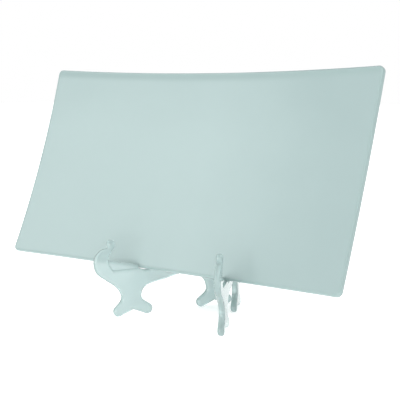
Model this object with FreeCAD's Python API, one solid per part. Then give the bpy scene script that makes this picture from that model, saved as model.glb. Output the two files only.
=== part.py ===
import FreeCAD, Part
import math
import os

# A dished, frosted glass guard panel that leans on a clear two-part folding stand.
#
# Frame: millimetres, +Z up. +X runs along the panel's width, to the right of a
# person facing its front, and -Y is the front. The origin is on the table, under
# the centre of the whole object.

# ---------------------------------------------------------------- driving sizes
# glass panel
PANEL_WIDTH = 382.0
PANEL_HEIGHT = 199.5
GLASS = 6.0                # thickness
PANEL_LEAN = 21.8          # degrees back from vertical
WIDTH_SAG = 8.4            # depth of the dish along the top and bottom edges
HEIGHT_SAG = 4.1           # depth of the dish along the ends
LONG_EDGE_DRAW = 2.0       # how far the long edges are drawn in at mid-width
END_EDGE_DRAW = 1.0        # how far the end edges are drawn in at mid-height
CORNER_R = 5.0
FRONT_RIM_R = 1.8
BACK_RIM_R = 1.2
PANEL_FOOT_Y = -32.7       # front bottom corners of the panel
PANEL_FOOT_Z = 46.0

# stand
STAND_X = 23.5             # the stand's middle plane: the panel sits off centre on it
HALF_SPREAD = 27.5         # degrees from the middle plane to each half
HINGE_Y = 62.5
PLATE = 6.0                # thickness of each moulded half
FACE_GAP = 0.3             # from the hinge plane to a half's inner face
EDGE_R = 2.5               # moulded edge rounding
LEDGE_Z = 44.3
SEAT_Z = 42.5              # the ledge dips here to take the panel's foot
SEAT_RAMP = (95.6, 101.0)  # where the dip starts to climb, and where it reaches the ledge
WEB = 2.0                  # thickness of the thin web in the hook's root
WEB_REAR = (101.0, 47.6)   # the two ends of its upper edge
WEB_FRONT = (133.5, 54.0)

# hinge
BARREL_R = 3.3
PIN_R = 1.25
PRESS = 0.01               # the pin's interference in the left half's knuckles
RUNNING = 0.05             # its radial clearance in the right half's knuckles
KNUCKLE_GAP = 0.3
KNUCKLES = 5
HINGE_LOW = 34.0
HINGE_HIGH = 94.0
PIN_HEAD_R = 2.3
PIN_HEAD_H = 1.4

# profile of one half: s runs forward from the hinge, z runs up
SPINE_BACK = 4.2
SPINE_FRONT = 15.0
TOE_R = 5.0
FLAT_DEPTH = 0.3           # each toe is cut this much flat where it rests
NOTCH_Z = 5.2
FRONT_FOOT = {"centre": 107.4, "reach": 14.6, "waist": 108.9, "half_waist": 10.0}
REAR_FOOT = {"centre": 22.0, "reach": 14.0, "waist": 21.0, "half_waist": 9.3}
WAIST_Z = 17.5
UPRIGHT_FOOT_S = 90.1      # where the upright's front edge crosses the ledge's height
UPRIGHT_SLOPE = 0.516      # s lost per millimetre of height
UPRIGHT_DEPTH = 14.0
UPRIGHT_TOP_Z = 125.0
TIP_R = 4.8
HOOK_ROOT_S = 125.5
HOOK_TIP = (128.5, 69.0)
HOOK_TIP_R = 4.2


def vec(point):
    """A profile point (s, z) in the plane of the plate."""
    return FreeCAD.Vector(point[0], 0, point[1])


def on_circle(centre, radius, degrees):
    angle = math.radians(degrees)
    return (centre[0] + radius * math.cos(angle), centre[1] + radius * math.sin(angle))


def line(start, end):
    return Part.LineSegment(vec(start), vec(end)).toShape()


def arc(centre, radius, start, end):
    """An arc from one angle to another, in degrees."""
    points = [on_circle(centre, radius, a) for a in (start, (start + end) / 2, end)]
    return Part.Arc(*[vec(p) for p in points]).toShape()


def curve(points, leave, arrive):
    """Smooth edges through points, with the directions at the two ends."""
    places = [vec(p) for p in points]
    directions = [vec(leave)]
    for before, after in zip(places, places[2:]):
        directions.append((after - before).normalize())
    directions.append(vec(arrive))
    edges = []
    for i, (start, end) in enumerate(zip(places, places[1:])):
        handle = start.distanceToPoint(end) / 3
        bend = Part.BezierCurve()
        bend.setPoles([start, start + directions[i] * handle, end - directions[i + 1] * handle, end])
        edges.append(bend.toShape())
    return edges


def heading(degrees):
    """The clockwise direction of travel at an angle on a circle."""
    angle = math.radians(degrees)
    return (math.sin(angle), -math.cos(angle))


def rounded_polygon(corners, radius):
    """A closed wire of straight sides with every corner rounded."""
    edges = []
    count = len(corners)
    joints = []
    for i, corner in enumerate(corners):
        here = vec(corner)
        before = (vec(corners[i - 1]) - here).normalize()
        after = (vec(corners[(i + 1) % count]) - here).normalize()
        half = before.getAngle(after) / 2
        middle = (before + after).normalize()
        centre = here + middle * (radius / math.sin(half))
        reach = radius / math.tan(half)
        joints.append((here + before * reach, centre - middle * radius, here + after * reach))
    for i, (enter, crown, leave) in enumerate(joints):
        edges.append(Part.Arc(enter, crown, leave).toShape())
        edges.append(Part.LineSegment(leave, joints[(i + 1) % count][0]).toShape())
    return Part.Wire(Part.__sortEdges__(edges))


# ---------------------------------------------------------------- glass panel
def dish_point(across, up):
    """The panel's front face: across runs -1..1 over the width, up runs 0..1."""
    middle = 1 - across * across
    belly = 4 * up * (1 - up)
    x = across * (PANEL_WIDTH / 2 - END_EDGE_DRAW * belly)
    height = up * PANEL_HEIGHT - (2 * up - 1) * LONG_EDGE_DRAW * middle
    sag = HEIGHT_SAG * belly + WIDTH_SAG * middle
    lean = math.radians(PANEL_LEAN)
    y = PANEL_FOOT_Y + height * math.sin(lean) + sag * math.cos(lean)
    z = PANEL_FOOT_Z + height * math.cos(lean) - sag * math.sin(lean)
    return FreeCAD.Vector(x, y, z)


def poles(first, middle, last):
    """The three poles of the parabola through three evenly spaced points."""
    return [first, middle * 2 - (first + last) * 0.5, last]


def glass_panel():
    rows = [poles(*[dish_point(a, up) for a in (-1, 0, 1)]) for up in (0, 0.5, 1)]
    columns = [poles(*column) for column in zip(*rows)]
    surface = Part.BezierSurface()
    surface.increase(2, 2)
    for i, column in enumerate(columns):
        for j, pole in enumerate(column):
            surface.setPole(i + 1, j + 1, pole)
    lean = math.radians(PANEL_LEAN)
    through = FreeCAD.Vector(0, math.cos(lean), -math.sin(lean)) * GLASS
    slab = surface.toShape().extrude(through)
    corners = [e for e in slab.Edges if abs(e.Length - GLASS) < 0.01]
    slab = slab.makeFillet(CORNER_R, corners)

    def rim(shape, depth):
        # the edges that lie on the front face (depth 0) or on the back face
        face = surface.toShape().translated(through * depth)
        return [e for e in shape.Edges if all(
            face.distToShape(Part.Vertex(e.valueAt(p)))[0] < 0.01
            for p in (e.FirstParameter, (e.FirstParameter + e.LastParameter) / 2, e.LastParameter))]

    slab = slab.makeFillet(FRONT_RIM_R, rim(slab, 0))
    return slab.makeFillet(BACK_RIM_R, rim(slab, 1))


# ---------------------------------------------------------------- stand halves
def foot_edges(foot):
    """A fishtail foot, from its front waist round both toes to its rear waist."""
    front_waist = (foot["waist"] + foot["half_waist"], WAIST_Z)
    rear_waist = (foot["waist"] - foot["half_waist"], WAIST_Z)
    front = (foot["centre"] + foot["reach"], TOE_R - FLAT_DEPTH)
    rear = (foot["centre"] - foot["reach"], TOE_R - FLAT_DEPTH)
    notch = (foot["centre"], NOTCH_Z)
    toe_top, toe_bottom = 45, -110
    edges = [
        *curve([front_waist, on_circle(front, TOE_R, toe_top)], (0, -1), heading(toe_top)),
        arc(front, TOE_R, toe_top, toe_bottom),
        line(on_circle(front, TOE_R, toe_bottom), notch),
        line(notch, on_circle(rear, TOE_R, -180 - toe_bottom)),
        arc(rear, TOE_R, -180 - toe_bottom, -180 - toe_top),
        *curve([on_circle(rear, TOE_R, -180 - toe_top), rear_waist],
               heading(-180 - toe_top), (0, 1)),
    ]
    return edges, front_waist, rear_waist


def upright_front(z):
    return UPRIGHT_FOOT_S - UPRIGHT_SLOPE * (z - LEDGE_Z)


def half_outline():
    front_foot, ankle_front, ankle_rear = foot_edges(FRONT_FOOT)
    rear_foot, heel_front, heel_rear = foot_edges(REAR_FOOT)
    seat_rear = (upright_front(SEAT_Z), SEAT_Z)
    seat_front = (SEAT_RAMP[0], SEAT_Z)
    ledge_rear = (SEAT_RAMP[1], LEDGE_Z)
    hook_root = (HOOK_ROOT_S, LEDGE_Z)
    hook_in, hook_out = 200, -30
    neck_in = on_circle(HOOK_TIP, HOOK_TIP_R, hook_in)
    neck_out = on_circle(HOOK_TIP, HOOK_TIP_R, hook_out)
    slope = math.degrees(math.atan(UPRIGHT_SLOPE))
    tip_front = (upright_front(UPRIGHT_TOP_Z), UPRIGHT_TOP_Z)
    tip = on_circle(tip_front, TIP_R, 180 + slope)
    tip_out, tip_in = 215, slope
    spine_low = (SPINE_BACK, HINGE_LOW - 1)
    spine_high = (SPINE_BACK, HINGE_HIGH - 1)
    shoulder = (SPINE_BACK + 7, HINGE_HIGH + 5)
    edges = [
        line(seat_rear, seat_front),
        line(seat_front, ledge_rear),
        line(ledge_rear, hook_root),
        # swan-necked hook
        *curve([hook_root, (129.9, 49.0), (131.2, 55.0), (129.2, 60.5), neck_in],
               (1, 0), heading(hook_in)),
        arc(HOOK_TIP, HOOK_TIP_R, hook_in, hook_out),
        *curve([neck_out, (138.5, 64.0), (143.6, 59.0), (145.5, 51.5), (142.8, 42.5),
                (134.6, 35.6), (125.2, 28.7), (120.2, 22.5), ankle_front],
               (-0.5, -0.87), (0, -1)),
    ]
    edges += front_foot
    # arched underside
    edges += curve([ankle_rear, (96.6, 24.5), (91.0, 28.0), (76.5, 30.9), (57.0, 35.0),
                    (43.0, 33.5), (33.5, 27.0), heel_front], (0, 1), (0, -1))
    edges += rear_foot
    edges += [
        *curve([heel_rear, spine_low], (0, 1), (0, 1)),
        line(spine_low, spine_high),
        *curve([spine_high, shoulder, (27.0, 104.0), on_circle(tip, TIP_R, tip_out)],
               (0, 1), heading(tip_out)),
        arc(tip, TIP_R, tip_out, tip_in),
        line(tip_front, seat_rear),
    ]
    return Part.Wire(Part.__sortEdges__(edges))


def half_window():
    """The opening behind the upright, inside its closed frame."""
    low = LEDGE_Z + 2.5
    high = HINGE_HIGH + 1
    corners = [(SPINE_FRONT, low), (upright_front(low) - UPRIGHT_DEPTH, low),
               (upright_front(high) - UPRIGHT_DEPTH, high), (SPINE_FRONT, high - 9)]
    return rounded_polygon(corners, 7.0)


def hook_web():
    """The thin web that fills the hook's root, clear of the panel's foot."""
    buried = LEDGE_Z - 4
    corners = [(WEB_REAR[0], buried), WEB_REAR, WEB_FRONT, (WEB_FRONT[0], buried)]
    web = Part.Face(rounded_polygon(corners, 1.0)).extrude(FreeCAD.Vector(0, WEB, 0))
    web.translate(FreeCAD.Vector(0, FACE_GAP + (PLATE - WEB) / 2, 0))
    return web


def knuckle(index):
    """One hinge knuckle with the web that joins it to its plate."""
    pitch = (HINGE_HIGH - HINGE_LOW) / KNUCKLES
    low = HINGE_LOW + index * pitch + (KNUCKLE_GAP / 2 if index else 0)
    high = HINGE_LOW + (index + 1) * pitch - (KNUCKLE_GAP / 2 if index < KNUCKLES - 1 else 0)
    base = FreeCAD.Vector(0, 0, low)
    barrel = Part.makeCylinder(BARREL_R, high - low, base)
    web = Part.makeBox(SPINE_BACK + EDGE_R + 1, BARREL_R - FACE_GAP, high - low,
                       FreeCAD.Vector(0, FACE_GAP, low))
    return barrel.fuse(web)


def stand_half(knuckles, bore_r):
    """One half with its inner face beside the hinge plane, s along +X."""
    face = Part.Face([half_outline(), half_window()])
    plate = face.extrude(FreeCAD.Vector(0, PLATE, 0))
    rims = [e for e in plate.Edges if e.BoundBox.YLength < 0.001]
    plate = plate.makeFillet(EDGE_R, rims)
    plate.translate(FreeCAD.Vector(0, FACE_GAP, 0))
    plate = plate.fuse(hook_web())
    for index in knuckles:
        plate = plate.fuse(knuckle(index))
    bore = Part.makeCylinder(bore_r, HINGE_HIGH - HINGE_LOW + 2,
                             FreeCAD.Vector(0, 0, HINGE_LOW - 1))
    floor = Part.makeBox(400, 40, 20, FreeCAD.Vector(-50, -20, -20))
    return plate.cut(bore).cut(floor).removeSplitter()


def placed(shape):
    """Turn a half out to the right of the middle plane, at the hinge."""
    shape.rotate(FreeCAD.Vector(0, 0, 0), FreeCAD.Vector(0, 0, 1), HALF_SPREAD - 90)
    shape.translate(FreeCAD.Vector(STAND_X, HINGE_Y, 0))
    return shape


def hinge_pin():
    shank = Part.makeCylinder(PIN_R, HINGE_HIGH - HINGE_LOW)
    head = Part.makeCylinder(PIN_HEAD_R, PIN_HEAD_H, FreeCAD.Vector(0, 0, HINGE_HIGH - HINGE_LOW))
    crown = [e for e in head.Edges if e.BoundBox.ZMin > HINGE_HIGH - HINGE_LOW + PIN_HEAD_H - 0.01]
    pin = shank.fuse(head.makeFillet(PIN_HEAD_H * 0.6, crown))
    pin.translate(FreeCAD.Vector(STAND_X, HINGE_Y, HINGE_LOW))
    return pin


left_knuckles = range(0, KNUCKLES, 2)
right_knuckles = range(1, KNUCKLES, 2)
left_half = placed(stand_half(left_knuckles, PIN_R - PRESS))
left_half = left_half.mirror(FreeCAD.Vector(STAND_X, 0, 0), FreeCAD.Vector(1, 0, 0))

os.makedirs("parts", exist_ok=True)
nodes = {
    "glass_panel": glass_panel(),
    "left_stand_half": left_half,
    "right_stand_half": placed(stand_half(right_knuckles, PIN_R + RUNNING)),
    "hinge_pin": hinge_pin(),
}

for name, shape in nodes.items():
    solid = shape.Solids[0]
    solid.exportStep("parts/" + name + ".step")
    print(name, "valid" if solid.isValid() else "not valid", round(solid.Volume), "mm3")
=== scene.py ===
import math

import bmesh
import bpy
from mathutils import Matrix, Vector


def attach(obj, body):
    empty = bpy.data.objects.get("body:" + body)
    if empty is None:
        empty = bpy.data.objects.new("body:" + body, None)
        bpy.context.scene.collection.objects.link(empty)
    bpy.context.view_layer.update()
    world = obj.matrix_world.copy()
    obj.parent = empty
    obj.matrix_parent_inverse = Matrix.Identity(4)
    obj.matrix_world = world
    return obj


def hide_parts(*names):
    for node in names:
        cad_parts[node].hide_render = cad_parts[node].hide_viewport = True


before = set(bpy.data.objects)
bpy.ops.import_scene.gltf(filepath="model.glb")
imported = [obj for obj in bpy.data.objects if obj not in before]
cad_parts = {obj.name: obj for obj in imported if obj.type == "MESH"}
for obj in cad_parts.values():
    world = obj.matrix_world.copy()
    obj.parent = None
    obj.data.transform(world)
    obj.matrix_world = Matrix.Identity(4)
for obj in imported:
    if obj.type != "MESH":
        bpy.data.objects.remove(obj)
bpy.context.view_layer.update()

MM = 0.001

# ------------------------------------------------------------------ sizes in millimetres
# glass panel
PANEL_WIDTH = 382.0
PANEL_HEIGHT = 199.5
GLASS = 6.0
PANEL_LEAN = math.radians(21.8)
WIDTH_SAG = 8.4
HEIGHT_SAG = 4.1
LONG_EDGE_DRAW = 2.0
END_EDGE_DRAW = 1.0
CORNER_R = 5.0
FRONT_RIM_R = 1.8
BACK_RIM_R = 1.2
PANEL_FOOT_Y = -32.7
PANEL_FOOT_Z = 46.0

# stand
STAND_X = 23.5
HALF_SPREAD = math.radians(27.5)
HINGE_Y = 62.5
PLATE = 6.0
FACE_GAP = 0.3
EDGE_R = 2.5
LEDGE_Z = 44.3
SEAT_Z = 42.5              # the ledge dips here to take the panel's foot
SEAT_RAMP = (95.6, 101.0)  # where the dip starts to climb, and where it reaches the ledge
WEB = 2.0                  # thickness of the thin web in the hook's root
WEB_EDGE_R = 0.5
WEB_CORNER_R = 1.0
WEB_REAR = (101.0, 47.6)   # the two ends of its upper edge
WEB_FRONT = (133.5, 54.0)

# hinge
BARREL_R = 3.3
BARREL_EDGE_R = 0.25
PIN_R = 1.25
PRESS = 0.01
RUNNING = 0.05
KNUCKLE_GAP = 0.3
KNUCKLES = 5
HINGE_LOW = 34.0
HINGE_HIGH = 94.0
PIN_HEAD_R = 2.3
PIN_HEAD_H = 1.4
PIN_END_BEVEL = 0.3

# profile of one half: s runs forward from the hinge, z runs up
SPINE_BACK = 4.2
SPINE_FRONT = 15.0
TOE_R = 5.0
FLAT_DEPTH = 0.3
NOTCH_Z = 5.2
WAIST_Z = 17.5
UPRIGHT_FOOT_S = 90.1      # where the upright's front edge crosses the ledge's height
UPRIGHT_SLOPE = 0.516      # s lost per millimetre of height
UPRIGHT_DEPTH = 14.0
UPRIGHT_TOP_Z = 125.0
TIP_R = 4.8
HOOK_ROOT_S = 125.5
HOOK_TIP = (128.5, 69.0)
HOOK_TIP_R = 4.2
WINDOW_R = 7.0


# ------------------------------------------------------------------ modelling helpers
def only(piece):
    """Make one piece the selected and active one."""
    bpy.ops.object.select_all(action="DESELECT")
    piece.select_set(True)
    bpy.context.view_layer.objects.active = piece


def edit(piece):
    only(piece)
    bpy.ops.object.mode_set(mode="EDIT")


def done():
    bpy.ops.object.mode_set(mode="OBJECT")


def choose(kind, test):
    """In edit mode, select the vertices, edges or faces that pass a test, and no others."""
    bpy.ops.mesh.select_mode(type=kind)
    bpy.ops.mesh.select_all(action="DESELECT")
    mesh = bmesh.from_edit_mesh(bpy.context.object.data)
    for item in {"VERT": mesh.verts, "EDGE": mesh.edges, "FACE": mesh.faces}[kind]:
        item.select_set(test(item))
    mesh.select_flush_mode()
    bmesh.update_edit_mesh(bpy.context.object.data)


def settle(piece):
    """Put a piece's place into its mesh."""
    only(piece)
    bpy.ops.object.transform_apply(location=True, rotation=True, scale=True)


def close_up(piece):
    """Merge doubles and turn every face outwards."""
    edit(piece)
    bpy.ops.mesh.select_all(action="SELECT")
    bpy.ops.mesh.remove_doubles(threshold=0.002)
    bpy.ops.mesh.normals_make_consistent(inside=False)
    done()


def combine(piece, tool, operation):
    """Join a tool to a piece, or cut it away, and drop the tool."""
    only(piece)
    bpy.ops.object.modifier_add(type="BOOLEAN")
    step = piece.modifiers[-1]
    step.operation = operation
    step.solver = "EXACT"
    step.object = tool
    bpy.ops.object.modifier_apply(modifier=step.name)
    bpy.data.objects.remove(tool)


def finish(piece):
    """Bring a piece to metres, and smooth it so that corners stay crisp and flats stay flat."""
    piece.matrix_world = Matrix.Scale(MM, 4) @ piece.matrix_world
    settle(piece)
    bpy.ops.object.shade_smooth_by_angle(angle=math.radians(35))
    bpy.ops.object.modifier_add(type="WEIGHTED_NORMAL")
    step = piece.modifiers[-1]
    step.keep_sharp = True
    bpy.ops.object.modifier_apply(modifier=step.name)
    return piece


# ------------------------------------------------------------------ glass panel
THROUGH = Vector((0, math.cos(PANEL_LEAN), -math.sin(PANEL_LEAN)))     # front to back


def dish_point(across, up):
    """The panel's front face: across runs -1..1 over the width, up runs 0..1."""
    middle = 1 - across * across
    belly = 4 * up * (1 - up)
    x = across * (PANEL_WIDTH / 2 - END_EDGE_DRAW * belly)
    height = up * PANEL_HEIGHT - (2 * up - 1) * LONG_EDGE_DRAW * middle
    sag = HEIGHT_SAG * belly + WIDTH_SAG * middle
    y = PANEL_FOOT_Y + height * math.sin(PANEL_LEAN) + sag * math.cos(PANEL_LEAN)
    z = PANEL_FOOT_Z + height * math.cos(PANEL_LEAN) - sag * math.sin(PANEL_LEAN)
    return Vector((x, y, z))


def is_corner(vertex):
    return len(vertex.link_edges) == 2


def make_panel():
    """A flat sheet with rounded corners, slumped to its dish, then given its thickness and rims."""
    bpy.ops.object.select_all(action="DESELECT")
    bpy.ops.mesh.primitive_grid_add(x_subdivisions=64, y_subdivisions=32, size=2)
    panel = bpy.context.object
    panel.name = "guard_panel"
    panel.scale = (PANEL_WIDTH / 2, PANEL_HEIGHT / 2, 1)
    settle(panel)
    edit(panel)
    choose("VERT", is_corner)
    bpy.ops.mesh.bevel(offset=CORNER_R, segments=8, affect="VERTICES", clamp_overlap=False)
    done()
    for point in panel.data.vertices:
        point.co = dish_point(point.co.x / (PANEL_WIDTH / 2), point.co.y / PANEL_HEIGHT + 0.5)
    edit(panel)
    bpy.ops.mesh.select_all(action="SELECT")
    bpy.ops.mesh.extrude_region_move(TRANSFORM_OT_translate={"value": THROUGH * GLASS})
    bpy.ops.mesh.select_all(action="SELECT")
    bpy.ops.mesh.normals_make_consistent(inside=False)
    for side, radius, steps in ((-1, FRONT_RIM_R, 5), (1, BACK_RIM_R, 4)):
        choose("EDGE", lambda e: e.calc_face_angle() > 1 and
               any(f.normal.dot(THROUGH) * side > 0.7 for f in e.link_faces))
        bpy.ops.mesh.bevel(offset=radius, segments=steps, clamp_overlap=False)
    done()
    return finish(panel)


# ------------------------------------------------------------------ drawing a profile
def on_circle(centre, radius, degrees):
    angle = math.radians(degrees)
    return Vector(centre) + Vector((math.cos(angle), math.sin(angle))) * radius


def heading(degrees):
    """The clockwise direction of travel at an angle on a circle."""
    angle = math.radians(degrees)
    return Vector((math.sin(angle), -math.cos(angle)))


def line(start, end):
    """A straight piece: its two ends. A bent piece has its two handles between them."""
    return [(Vector(start), Vector(end))]


def arc(centre, radius, start, end):
    """Bezier pieces of at most 60 degrees, from one angle to another."""
    count = math.ceil(abs(end - start) / 60)
    turn = (end - start) / count
    pull = 4 / 3 * math.tan(math.radians(turn) / 4) * radius
    pieces = []
    for i in range(count):
        a, b = start + i * turn, start + (i + 1) * turn
        first, last = on_circle(centre, radius, a), on_circle(centre, radius, b)
        pieces.append((first, first - heading(a) * pull, last + heading(b) * pull, last))
    return pieces


def curve(points, leave, arrive):
    """Smooth pieces through points, with the directions at the two ends."""
    places = [Vector(p) for p in points]
    inner = [(after - before).normalized() for before, after in zip(places, places[2:])]
    directions = [Vector(leave), *inner, Vector(arrive)]
    pieces = []
    for i, (start, end) in enumerate(zip(places, places[1:])):
        handle = (end - start).length / 3
        pieces.append((start, start + directions[i] * handle,
                       end - directions[i + 1] * handle, end))
    return pieces


def rounded_polygon(corners, radius):
    """A closed run of straight sides with every corner rounded."""
    bends = []
    for i, corner in enumerate(corners):
        here = Vector(corner)
        before = (Vector(corners[i - 1]) - here).normalized()
        after = (Vector(corners[(i + 1) % len(corners)]) - here).normalized()
        half = before.angle(after) / 2
        reach = radius / math.tan(half)
        pull = 4 / 3 * math.tan((math.pi / 2 - half) / 2) * radius
        bends.append((here + before * reach, here + before * (reach - pull),
                      here + after * (reach - pull), here + after * reach))
    pieces = []
    for i, bend in enumerate(bends):
        pieces += [bend, *line(bend[-1], bends[(i + 1) % len(bends)][0])]
    return pieces


def moulded(name, loops, thickness, rim_r):
    """A flat solid of the given loops, centred on its own plane, with its rims rounded."""
    bpy.ops.object.select_all(action="DESELECT")
    bpy.ops.curve.primitive_bezier_curve_add()
    solid = bpy.context.object
    solid.name = name
    shape = solid.data
    shape.splines.clear()
    shape.dimensions = "2D"
    shape.fill_mode = "BOTH"
    shape.resolution_u = 8
    for loop in loops:
        spline = shape.splines.new("BEZIER")
        spline.bezier_points.add(len(loop) - 1)
        spline.use_cyclic_u = True
        for before, after, knot in zip([loop[-1], *loop], loop, spline.bezier_points):
            knot.co = (*after[0], 0)
            knot.handle_left_type = "FREE" if len(before) == 4 else "VECTOR"
            knot.handle_right_type = "FREE" if len(after) == 4 else "VECTOR"
            knot.handle_left = (*before[-2], 0)
            knot.handle_right = (*after[1], 0)
    shape.bevel_depth = rim_r
    shape.bevel_resolution = 3
    shape.offset = -rim_r
    shape.extrude = thickness / 2 - rim_r
    bpy.ops.object.convert(target="MESH")
    close_up(solid)
    return solid


# ------------------------------------------------------------------ stand halves
def foot(centre, reach, waist, half_waist):
    """A fishtail foot, from its front waist round both toes to its rear waist."""
    front_waist, rear_waist = (waist + half_waist, WAIST_Z), (waist - half_waist, WAIST_Z)
    front, rear = (centre + reach, TOE_R - FLAT_DEPTH), (centre - reach, TOE_R - FLAT_DEPTH)
    notch = (centre, NOTCH_Z)
    toe_top, toe_bottom = 45, -110
    return [
        *curve([front_waist, on_circle(front, TOE_R, toe_top)], (0, -1), heading(toe_top)),
        *arc(front, TOE_R, toe_top, toe_bottom),
        *line(on_circle(front, TOE_R, toe_bottom), notch),
        *line(notch, on_circle(rear, TOE_R, -180 - toe_bottom)),
        *arc(rear, TOE_R, -180 - toe_bottom, -180 - toe_top),
        *curve([on_circle(rear, TOE_R, -180 - toe_top), rear_waist],
               heading(-180 - toe_top), (0, 1)),
    ]


def upright_front(z):
    return UPRIGHT_FOOT_S - UPRIGHT_SLOPE * (z - LEDGE_Z)


def half_outline():
    front_foot = foot(centre=107.4, reach=14.6, waist=108.9, half_waist=10.0)
    rear_foot = foot(centre=22.0, reach=14.0, waist=21.0, half_waist=9.3)
    seat_rear, seat_front = (upright_front(SEAT_Z), SEAT_Z), (SEAT_RAMP[0], SEAT_Z)
    ledge_rear, hook_root = (SEAT_RAMP[1], LEDGE_Z), (HOOK_ROOT_S, LEDGE_Z)
    hook_in, hook_out = 200, -30
    slope = math.degrees(math.atan(UPRIGHT_SLOPE))
    tip_front = (upright_front(UPRIGHT_TOP_Z), UPRIGHT_TOP_Z)
    tip = on_circle(tip_front, TIP_R, 180 + slope)
    tip_out = 215
    spine_low, spine_high = (SPINE_BACK, HINGE_LOW - 1), (SPINE_BACK, HINGE_HIGH - 1)
    shoulder = (SPINE_BACK + 7, HINGE_HIGH + 5)
    return [
        *line(seat_rear, seat_front),
        *line(seat_front, ledge_rear),
        *line(ledge_rear, hook_root),
        # swan-necked hook
        *curve([hook_root, (129.9, 49.0), (131.2, 55.0), (129.2, 60.5),
                on_circle(HOOK_TIP, HOOK_TIP_R, hook_in)], (1, 0), heading(hook_in)),
        *arc(HOOK_TIP, HOOK_TIP_R, hook_in, hook_out),
        *curve([on_circle(HOOK_TIP, HOOK_TIP_R, hook_out), (138.5, 64.0), (143.6, 59.0),
                (145.5, 51.5), (142.8, 42.5), (134.6, 35.6), (125.2, 28.7), (120.2, 22.5),
                front_foot[0][0]], (-0.5, -0.87), (0, -1)),
        *front_foot,
        # arched underside
        *curve([front_foot[-1][-1], (96.6, 24.5), (91.0, 28.0), (76.5, 30.9), (57.0, 35.0),
                (43.0, 33.5), (33.5, 27.0), rear_foot[0][0]], (0, 1), (0, -1)),
        *rear_foot,
        *curve([rear_foot[-1][-1], spine_low], (0, 1), (0, 1)),
        *line(spine_low, spine_high),
        *curve([spine_high, shoulder, (27.0, 104.0), on_circle(tip, TIP_R, tip_out)],
               (0, 1), heading(tip_out)),
        *arc(tip, TIP_R, tip_out, slope),
        *line(tip_front, seat_rear),
    ]


def half_window():
    """The opening behind the upright, inside its closed frame."""
    low, high = LEDGE_Z + 2.5, HINGE_HIGH + 1
    corners = [(SPINE_FRONT, low), (upright_front(low) - UPRIGHT_DEPTH, low),
               (upright_front(high) - UPRIGHT_DEPTH, high), (SPINE_FRONT, high - 9)]
    return rounded_polygon(corners, WINDOW_R)


def hook_web():
    """The thin web that fills the hook's root, clear of the panel's foot."""
    buried = LEDGE_Z - 4
    corners = [(WEB_REAR[0], buried), WEB_REAR, WEB_FRONT, (WEB_FRONT[0], buried)]
    return moulded("web", [rounded_polygon(corners, WEB_CORNER_R)], WEB, WEB_EDGE_R)


def knuckle(index):
    """One hinge knuckle: a barrel, drawn from above, with the web that joins it to its plate."""
    pitch = (HINGE_HIGH - HINGE_LOW) / KNUCKLES
    low = HINGE_LOW + index * pitch + (KNUCKLE_GAP / 2 if index else 0)
    high = HINGE_LOW + (index + 1) * pitch - (KNUCKLE_GAP / 2 if index < KNUCKLES - 1 else 0)
    meet = 360 + math.degrees(math.asin(FACE_GAP / BARREL_R))
    reach = SPINE_BACK + EDGE_R - 0.5
    plan = [
        *arc((0, 0), BARREL_R, 90, meet),
        *line(on_circle((0, 0), BARREL_R, meet), (reach, FACE_GAP)),
        *line((reach, FACE_GAP), (reach, BARREL_R)),
        *line((reach, BARREL_R), (0, BARREL_R)),
    ]
    made = moulded("knuckle", [plan], high - low, BARREL_EDGE_R)
    made.location.z = (low + high) / 2
    settle(made)
    return made


def rod(name, radius, low, high):
    """An upright rod on the hinge axis of an unplaced half."""
    bpy.ops.object.select_all(action="DESELECT")
    bpy.ops.mesh.primitive_cylinder_add(vertices=32, radius=radius, depth=high - low,
                                        location=(0, 0, (low + high) / 2))
    made = bpy.context.object
    made.name = name
    settle(made)
    return made


def make_half(name, side, knuckles, bore_r):
    """One moulded half, with its inner face beside the hinge plane, then swung out and placed."""
    half = moulded(name, [half_outline(), half_window()], PLATE, EDGE_R)
    combine(half, hook_web(), "UNION")
    half.rotation_euler = (math.pi / 2, 0, 0)
    half.location = (0, FACE_GAP + PLATE / 2, 0)
    settle(half)
    for index in knuckles:
        combine(half, knuckle(index), "UNION")
    combine(half, rod("bore", bore_r, HINGE_LOW - 1, HINGE_HIGH + 1), "DIFFERENCE")
    edit(half)
    bpy.ops.mesh.select_all(action="SELECT")
    bpy.ops.mesh.bisect(plane_co=(0, 0, 0), plane_no=(0, 0, 1), use_fill=True, clear_inner=True)
    done()
    turn = Matrix.Rotation(HALF_SPREAD - math.pi / 2, 4, "Z")
    hand = Matrix.Scale(side, 4, (1, 0, 0))
    half.matrix_world = Matrix.Translation((STAND_X, HINGE_Y, 0)) @ hand @ turn
    settle(half)
    close_up(half)
    return finish(half)


def make_pin():
    """The hinge pin: a plain shank with a domed head on top."""
    pin = rod("stand_pin", PIN_R, HINGE_LOW, HINGE_HIGH)
    edit(pin)
    choose("FACE", lambda f: f.normal.z < -0.9)
    bpy.ops.mesh.bevel(offset=PIN_END_BEVEL, segments=2)
    choose("FACE", lambda f: f.normal.z > 0.9)
    grow = PIN_HEAD_R / PIN_R
    bpy.ops.mesh.extrude_region_move()
    bpy.ops.transform.resize(value=(grow, grow, 1))
    bpy.ops.mesh.extrude_region_move(TRANSFORM_OT_translate={"value": (0, 0, PIN_HEAD_H)})
    bpy.ops.mesh.bevel(offset=PIN_HEAD_H * 0.6, segments=5)
    done()
    pin.location = (STAND_X, HINGE_Y, 0)
    settle(pin)
    close_up(pin)
    return finish(pin)


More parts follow.
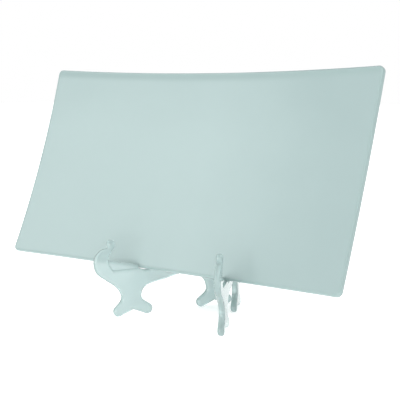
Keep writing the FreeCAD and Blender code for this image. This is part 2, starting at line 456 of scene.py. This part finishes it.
# ------------------------------------------------------------------ shader maths
class Value:
    """A shader socket that adds Math nodes when it is used in an expression."""

    def __init__(self, material, socket):
        self.material = material
        self.socket = socket

    def _math(self, operation, *values):
        return self.material.node("ShaderNodeMath", {"operation": operation},
                                  dict(enumerate(values)))

    def __add__(self, other):
        return self._math("ADD", self, other)

    __radd__ = __add__

    def __mul__(self, other):
        return self._math("MULTIPLY", self, other)

    __rmul__ = __mul__

    def __sub__(self, other):
        return self._math("SUBTRACT", self, other)

    def __rsub__(self, other):
        return self._math("SUBTRACT", other, self)

    def __truediv__(self, other):
        return self._math("DIVIDE", self, other)

    def __abs__(self):
        return self._math("ABSOLUTE", self)

    def at_most(self, other):
        return self._math("MINIMUM", self, other)

    def at_least(self, other):
        return self._math("MAXIMUM", self, other)

    def step(self, start, end):
        """0 at start, 1 at end, smooth between them."""
        return self.material.node("ShaderNodeMapRange", {"interpolation_type": "SMOOTHSTEP"},
                                  {"Value": self, "From Min": start, "From Max": end})


class Material:
    """A node material with one Principled shader."""

    def __init__(self, name):
        self.data = bpy.data.materials.new(name)
        self.data.use_nodes = True
        self.tree = self.data.node_tree
        self.shader = self.tree.nodes["Principled BSDF"]

    def node(self, kind, settings=None, inputs=None, output=0):
        made = self.tree.nodes.new(kind)
        for name, value in (settings or {}).items():
            setattr(made, name, value)
        for name, value in (inputs or {}).items():
            self.feed(made.inputs[name], value)
        return Value(self, made.outputs[output])

    def feed(self, socket, value):
        if isinstance(value, Value):
            self.tree.links.new(value.socket, socket)
        elif socket.type == "RGBA":
            socket.default_value = (*value, 1)
        else:
            socket.default_value = value

    def set(self, **inputs):
        """Shader inputs by name, with an underscore for each space."""
        for name, value in inputs.items():
            self.feed(self.shader.inputs[name.replace("_", " ")], value)

    def place(self):
        """Where a point is on the piece, in millimetres: as a vector, and as x, y and z."""
        metres = self.node("ShaderNodeTexCoord", output="Object")
        spot = self.node("ShaderNodeVectorMath", {"operation": "SCALE"},
                         {0: metres, "Scale": 1 / MM})
        parts = self.tree.nodes.new("ShaderNodeSeparateXYZ")
        self.feed(parts.inputs[0], spot)
        return spot, [Value(self, out) for out in parts.outputs]

    def noise(self, spot, scale, detail=2.0, rough=0.5):
        return self.node("ShaderNodeTexNoise", None,
                         {"Vector": spot, "Scale": scale, "Detail": detail, "Roughness": rough})

    def mix(self, share, first, second):
        """From the first colour to the second."""
        made = self.tree.nodes.new("ShaderNodeMix")
        made.data_type = "RGBA"
        self.feed(made.inputs["Factor"], share)
        self.feed(made.inputs[6], first)
        self.feed(made.inputs[7], second)
        return Value(self, made.outputs[2])

    def plate_round(self, facing):
        """1 on the rounded rims of either stand half, 0 on its flat faces and flat edges."""
        share = None
        for side in (-1, 1):
            across = Vector((math.cos(HALF_SPREAD), side * math.sin(HALF_SPREAD), 0))
            along = abs(self.node("ShaderNodeVectorMath", {"operation": "DOT_PRODUCT"},
                                  {0: facing, 1: across}, output="Value"))
            share = along if share is None else share.at_least(along)
        return (1 - share.step(0.8, 0.98)) * share.step(0.05, 0.4)

    def bump(self, height, distance, strength=1.0):
        return self.node("ShaderNodeBump", None,
                         {"Height": height, "Distance": distance, "Strength": strength})


# ------------------------------------------------------------------ finishes
GLASS_FACE = (0.437, 0.555, 0.547)
# painted shade: the glass is drawn darker towards its +x end and its top; its random cloudy tone
# also leans towards this colour
GLASS_SHADE_AND_CLOUD = (0.352, 0.463, 0.458)
# painted shade: a darker, greener band along the panel's top edge, ends and foot
GLASS_EDGE_SHADE = (0.330, 0.445, 0.436)
PLASTIC_FACE = (0.54, 0.662, 0.657)
# painted shade along the rounded rims of the stand halves and the pin
PLASTIC_RIM_SHADE = (0.52, 0.65, 0.64)
TOP_BAND_STARTS = (0.5, 3)      # mm below the panel's top edge
TOP_BAND_ENDS = (5, 10.5)
GROUND_RIM = (1, 3.5)           # mm in from its ends and foot
SHADE_ACROSS = (0, 190)        # mm along x over which painted shade darkens the glass
SHADE_UP = (120, 200)          # mm up the panel over which painted shade darkens it again


def frosted_glass():
    """Acid-etched glass: a fine even grain and a random cloudy tone, clearer and smoother along its
    edges. Painted shade darkens it towards its +x end and its top, and paints a darker, greener
    band along its top edge, ends and foot.
    """
    made = Material("frosted_glass")
    spot, (x, y, z) = made.place()
    up = (y - PANEL_FOOT_Y) * math.sin(PANEL_LEAN) + (z - PANEL_FOOT_Z) * math.cos(PANEL_LEAN)
    across = x / (PANEL_WIDTH / 2)
    draw = (1 - across * across) * LONG_EDGE_DRAW
    share = up / PANEL_HEIGHT
    belly = share * (1 - share) * 4 * END_EDGE_DRAW
    from_top = PANEL_HEIGHT - draw - up
    from_end = PANEL_WIDTH / 2 - belly - abs(x)
    # painted shade: a darker band below the top edge and a darker rim along the ends and foot; the
    # same band is also less rough
    top_band_shade = from_top.step(*TOP_BAND_STARTS) * (1 - from_top.step(*TOP_BAND_ENDS))
    rim_shade = 1 - from_end.at_most(up - draw).step(*GROUND_RIM)
    shaded_edge_band = 1 - (1 - top_band_shade) * (1 - rim_shade)
    cloud = made.noise(spot, 0.018, 3)
    grain = made.noise(spot, 2.6, 2, 0.6)
    # painted shade, darker towards +x and towards the top, plus a random cloudy tone
    shade_and_cloud = x.step(*SHADE_ACROSS) * 0.95 + up.step(*SHADE_UP) * 0.3 + (cloud - 0.5) * 0.3
    face = made.mix(shade_and_cloud, GLASS_FACE, GLASS_SHADE_AND_CLOUD)
    made.set(Base_Color=made.mix(shaded_edge_band * 0.8, face, GLASS_EDGE_SHADE),
             Roughness=0.5 + grain * 0.12 - shaded_edge_band * 0.2,
             Normal=made.bump(grain, 0.05 * MM, 0.35))
    made.set(IOR=1.5, Transmission_Weight=0.15)
    return made.data


def clear_plastic(name):
    """Moulded milky plastic with a faint blue-green tint and a random cloudy tone, with painted
    shade a little darker along its rounded rims.
    """
    made = Material(name)
    spot, _ = made.place()
    facing = made.node("ShaderNodeTexCoord", output="Normal")
    flow = made.noise(spot, 0.06, 2)
    # painted shade: the rounded rims are drawn a little darker
    rim_shade = made.plate_round(facing)
    cloudier = [level * 0.96 for level in PLASTIC_FACE]
    face = made.mix(flow, PLASTIC_FACE, cloudier)
    made.set(Base_Color=made.mix(rim_shade, face, PLASTIC_RIM_SHADE), Roughness=0.06 + flow * 0.04)
    made.set(IOR=1.49, Transmission_Weight=0.55)
    return made.data


glass_look = frosted_glass()
plastic_look = clear_plastic("clear_plastic")
pin_look = clear_plastic("pin_plastic")
left_knuckles, right_knuckles = range(0, KNUCKLES, 2), range(1, KNUCKLES, 2)
for piece, node, body, slot, look in (
        (make_panel(), "glass_panel", "panel", "frosted_glass", glass_look),
        (make_half("easel_left", -1, left_knuckles, PIN_R - PRESS),
         "left_stand_half", "left_stand", "clear_plastic", plastic_look),
        (make_half("easel_right", 1, right_knuckles, PIN_R + RUNNING),
         "right_stand_half", "right_stand", "clear_plastic", plastic_look),
        (make_pin(), "hinge_pin", "left_stand", "pin_plastic", pin_look)):
    piece.data.materials.clear()
    piece.data.materials.append(look)
    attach(piece, body)
    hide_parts(node)

# ------------------------------------------------------------------ camera
VIEW_AZIMUTH = 36.95       # degrees round to the object's right
VIEW_PITCH = 7.26          # degrees looking down
VIEW_ROLL = -0.47
CAMERA_PLACE = (0.55704, -0.70356, 0.22184)
LENS = 86.7                # mm on a 36 mm sensor


def make_camera():
    data = bpy.data.cameras.new("camera")
    data.lens = LENS
    data.sensor_width = 36
    camera = bpy.data.objects.new("camera", data)
    bpy.context.scene.collection.objects.link(camera)
    turn = Matrix.Rotation(math.radians(VIEW_AZIMUTH), 4, "Z")
    tilt = Matrix.Rotation(math.radians(90 - VIEW_PITCH), 4, "X")
    roll = Matrix.Rotation(math.radians(VIEW_ROLL), 4, "Z")
    camera.matrix_world = Matrix.Translation(CAMERA_PLACE) @ turn @ tilt @ roll
    bpy.context.scene.camera = camera


def area_light(name, place, aim, size, watts):
    """A rectangular lamp that lights the object but is never seen itself."""
    data = bpy.data.lights.new(name, "AREA")
    data.shape = "RECTANGLE"
    data.size, data.size_y = size
    data.energy = watts
    lamp = bpy.data.objects.new(name, data)
    bpy.context.scene.collection.objects.link(lamp)
    lamp.location = place
    lamp.visible_camera = False
    lamp.rotation_euler = (Vector(aim) - Vector(place)).to_track_quat("-Z", "Y").to_euler()
    return lamp


TABLE_SIZE = 12
TABLE_GLOW = 0.5           # the table is a light table, so that shadows on it are faint
HORIZON = 0.65             # studio brightness level with the table
ZENITH = 0.95              # and straight above it
TENT_RISE = (0.05, 0.75)   # heights on the tent between which it brightens
BACKDROP = 1.0             # what shows behind the object, and through its clear parts


def studio():
    """A pale tent: bright overhead, darker round the sides, and white behind the object."""
    world = bpy.data.worlds.new("studio")
    bpy.context.scene.world = world
    world.use_nodes = True
    nodes, links = world.node_tree.nodes, world.node_tree.links
    spot = nodes.new("ShaderNodeTexCoord")
    parts = nodes.new("ShaderNodeSeparateXYZ")
    height = nodes.new("ShaderNodeMapRange")
    height.interpolation_type = "SMOOTHSTEP"
    for name, value in zip(("From Min", "From Max", "To Min", "To Max"),
                           (*TENT_RISE, HORIZON, ZENITH)):
        height.inputs[name].default_value = value
    tent, white = nodes["Background"], nodes.new("ShaderNodeBackground")
    tent.inputs["Color"].default_value = (1, 1, 1, 1)
    white.inputs["Color"].default_value = (1, 1, 1, 1)
    white.inputs["Strength"].default_value = BACKDROP
    path = nodes.new("ShaderNodeLightPath")
    seen = nodes.new("ShaderNodeMath")
    seen.operation = "MAXIMUM"
    choose = nodes.new("ShaderNodeMixShader")
    for source, target in (
            (spot.outputs["Generated"], parts.inputs[0]),
            (parts.outputs["Z"], height.inputs["Value"]),
            (height.outputs["Result"], tent.inputs["Strength"]),
            (path.outputs["Is Camera Ray"], seen.inputs[0]),
            (path.outputs["Is Transmission Ray"], seen.inputs[1]),
            (seen.outputs[0], choose.inputs["Fac"]),
            (tent.outputs[0], choose.inputs[1]),
            (white.outputs[0], choose.inputs[2]),
            (choose.outputs[0], nodes["World Output"].inputs["Surface"])):
        links.new(source, target)


make_camera()
studio()
# the two glints only show as highlights: they add no light to matt surfaces
area_light("key", (1.7, -0.7, 1.1), (0, 0, 0.1), (0.6, 0.9), 5)
area_light("low fill", (0.4, -1.45, 0.1), (0.02, 0.02, 0.02), (1.7, 0.18), 9)
for name, place, size in (("high glint", (0.5, -1.2, 1.7), (0.5, 0.07)),
                          ("left glint", (-0.5, -1.5, 0.6), (0.07, 0.5))):
    area_light(name, place, (0, 0, 0.05), size, 7).visible_diffuse = False
area_light("back light", (-1.3, 1.0, 0.8), (0, 0, 0.05), (0.5, 0.5), 3)

bpy.context.scene.view_settings.view_transform = "Standard"

bpy.ops.mesh.primitive_plane_add(size=TABLE_SIZE)
floor = bpy.context.object
floor.name = "floor"
paper = Material("paper")
paper.set(Base_Color=(0.93, 0.93, 0.93), Roughness=0.9)
paper.set(Emission_Color=(1, 1, 1), Emission_Strength=TABLE_GLOW)
floor.data.materials.append(paper.data)
